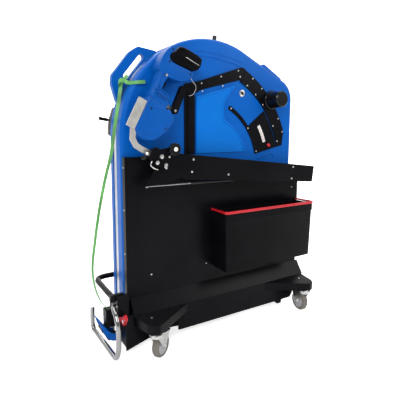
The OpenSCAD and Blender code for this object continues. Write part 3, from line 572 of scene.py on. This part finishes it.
BATTERY = [[-57.5, 319.5], [-70.5, 346], [-51, 371], [-50, 399], [2, 407], [66, 409], [72, 394], [76, 366],
           [60.5, 342]]
pack_parts = [slab(softened(BATTERY, 2), 3, 77, 6, on_tool)]
pack_parts += [slab(np.array([[-44 + k, s], [62 - k, s + 4], [62 - k, s + 7.5], [-44 + k, s + 3.5]]),
                    0.6, 6, 0.8, on_tool, 2) for s, k in ((344, 6), (354, 2), (382, 0), (391, 3))]
piece("battery_case", pack_parts, "battery", grained_black, replaces=["tool_battery"])
piece("battery_stripe", [slab(np.array([[-6, 369], [64, 372.5], [64, 374], [-6, 370.8]]), 2.2, 4.5, 0.3,
                              on_tool, 2)],
      "battery", printed_white)


# ---- raised lines on the housing ----

def lifted(points, width, height, depth, closed=False, steps=5):
    """A raised line on a face of the housing."""
    return bead(points, width, height, drawn, depth, closed=closed, steps=steps)


arc = np.radians(np.arange(61, 21, -5))
cover_edge = [[-130, 842], [-130, 1074], [-110, 1097], [58, 1146], [70, 1144], [18, 1072]]
cover_edge += [[DIAL[0] + 273 * np.cos(a), DIAL[1] + 273 * np.sin(a)] for a in arc] + [[146, 842]]
piece("cover_ridge", [lifted(cover_edge, 9, 3.2, PLATE_FACE)], "chassis", cover_blue)

outer = np.radians(np.linspace(74, 92, 12))
ridge_lines = [
    lifted(np.stack([-98 + 790 * np.cos(outer), 491 + 790 * np.sin(outer)], -1), 12, 3.5, SHELL_FACE),
    lifted([[60, 1150], [16, 1082], [14, 1060]], 7, 2.2, SHELL_FACE),
    lifted([[238, 800], [330, 826], [338, 800]], 10, 3, SHELL_FACE)]
piece("shell_ridges", ridge_lines, "chassis", shell_blue)


# ---- scale marks and small caps ----

def scale_marks():
    """Short and long strokes across the white arc, one every degree and a half, all at one depth."""
    strokes = []
    for k, a in enumerate(np.arange(20.5, 31.5, 1.5)):
        r0, r1 = (398, 410) if k % 2 == 0 else (401, 408)
        x0, z0 = around_dial(r0, a - 0.16)
        x1, z1 = around_dial(r1, a - 0.16)
        x2, z2 = around_dial(r1, a + 0.16)
        x3, z3 = around_dial(r0, a + 0.16)
        strokes.append(tube(np.stack([drawn(np.array([x0, x1, x2, x3]), np.array([z0, z1, z2, z3]), y)
                                      for y in (173.1, 173.5)])))
    return strokes


piece("scale_marks", scale_marks(), "chassis", red_mould)
piece("side_knob_cap", [turned([[0, 0], [9, 0], [9.5, 1], [8, 2.6], [4, 3.4], [0, 3.6]], [-310, 44.9, 867],
                               [0, -1, 0], 32)], "side_knob", printed_white)


# ---- finishes of the frame's own parts ----

def give(material, *nodes):
    """Puts one finish on each of the named frame parts."""
    for node in nodes:
        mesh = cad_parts[node].data
        mesh.materials.clear()
        mesh.materials.append(material)


corners = ("front_left", "front_right", "rear_left", "rear_right")
give(powder_black, "base_deck", "front_ledge", "front_apron", "front_panel", "rear_panel", "exit_box",
     "lift_arm", "hinge_bracket", "trim_strips", "trim_arc", "control_plate", "bumper_frame", "clamp_block")
give(zinc_plate, "screws", "arm_bolts", "caster_plates", "tool_pins", "drive_sprocket",
     *["fork_" + c for c in corners])
give(shell_blue, "front_shell", "rear_shell", "sled_nose")
give(cover_blue, "cover_panel")
give(tool_shell_blue, "tool_body")
give(bare_aluminium, "seam_frame")
give(printed_white, "scale_label")
give(knob_black, "big_knob", "round_knob", "top_peg")
give(grained_black, "clamp_lever", "tool_battery", "tool_lever", "tool_trigger", "control_lever", "bin_body",
     "pedal_front_left", "pedal_front_right")
give(oiled_black, "lance_chain")
give(red_mould, "red_button", "red_latch", "bin_rim")
give(chrome_tube, "guide_loop", "strut_rod")
give(cast_grey, "drive_motor")
give(tread_grey, *["tyre_" + c for c in corners])
give(hub_grey, *["hub_" + c for c in corners])
give(gloss_black, "strut_tube")
give(ground_steel, "tool_holder")
give(bracket_tan, "control_bracket")
give(strap_green, "strap", "strap_knot")


# ---- studio ----

def studio_floor():
    """A wide sheet that stays flat under the cart and rises far behind it: its height grows with distance
    squared."""
    x, y = np.meshgrid(np.linspace(-90, 90, 41), np.linspace(-12, 70, 41), indexing="ij")
    z = 0.03 * np.maximum(y - 4, 0) ** 2
    grid = np.stack([x, y, z], -1)
    i, k = np.meshgrid(np.arange(40), np.arange(40), indexing="ij")
    corner = i * 41 + k
    faces = np.stack([corner, corner + 41, corner + 42, corner + 1], -1).reshape(-1, 4)
    mesh = bpy.data.meshes.new("studio_floor")
    mesh.from_pydata(grid.reshape(-1, 3).tolist(), [], faces.tolist())
    mesh.shade_smooth()
    obj = bpy.data.objects.new("studio_floor", mesh)
    bpy.context.scene.collection.objects.link(obj)
    paper = finish("studio_paper", (0.93, 0.93, 0.93), 0.8, grain=30, bump=0.01, mottle=0.005, cloud=0.5,
                   specular=0.1)
    shader = paper.node_tree.nodes["Principled BSDF"]
    shader.inputs["Emission Color"].default_value = (1, 1, 1, 1)
    seen = paper.node_tree.nodes.new("ShaderNodeLightPath")
    glow = paper.node_tree.nodes.new("ShaderNodeMapRange")
    glow.inputs["To Min"].default_value = 0.15
    glow.inputs["To Max"].default_value = 0.75
    paper.node_tree.links.new(seen.outputs["Is Camera Ray"], glow.inputs["Value"])
    paper.node_tree.links.new(glow.outputs["Result"], shader.inputs["Emission Strength"])
    mesh.materials.append(paper)


studio_floor()


def lamp(name, where, aim, size, power):
    """A white soft box that looks from one point towards another."""
    data = bpy.data.lights.new(name, "AREA")
    data.shape = "RECTANGLE"
    data.size, data.size_y = size
    data.energy = power
    obj = bpy.data.objects.new(name, data)
    obj.location = where
    obj.rotation_euler = (Vector(aim) - Vector(where)).to_track_quat("-Z", "Y").to_euler()
    bpy.context.scene.collection.objects.link(obj)


lamp("key_lamp", (-3.0, -3.4, 3.4), (0, 0, 0.7), (2.2, 2.2), 125)
lamp("fill_lamp", (3.4, -3.0, 3.0), (0, 0, 0.8), (2.4, 2.4), 60)
lamp("top_lamp", (0, 1.0, 4.0), (0, 0.2, 0), (5, 4), 130)
lamp("back_lamp", (3, 9, 7), (4, 12, 0), (12, 8), 1500)
world = bpy.data.worlds.new("studio_world")
world.use_nodes = True
world.node_tree.nodes["Background"].inputs["Color"].default_value = (1, 1, 1, 1)
world.node_tree.nodes["Background"].inputs["Strength"].default_value = 0.32
bpy.context.scene.world = world
bpy.context.scene.view_settings.view_transform = "Standard"
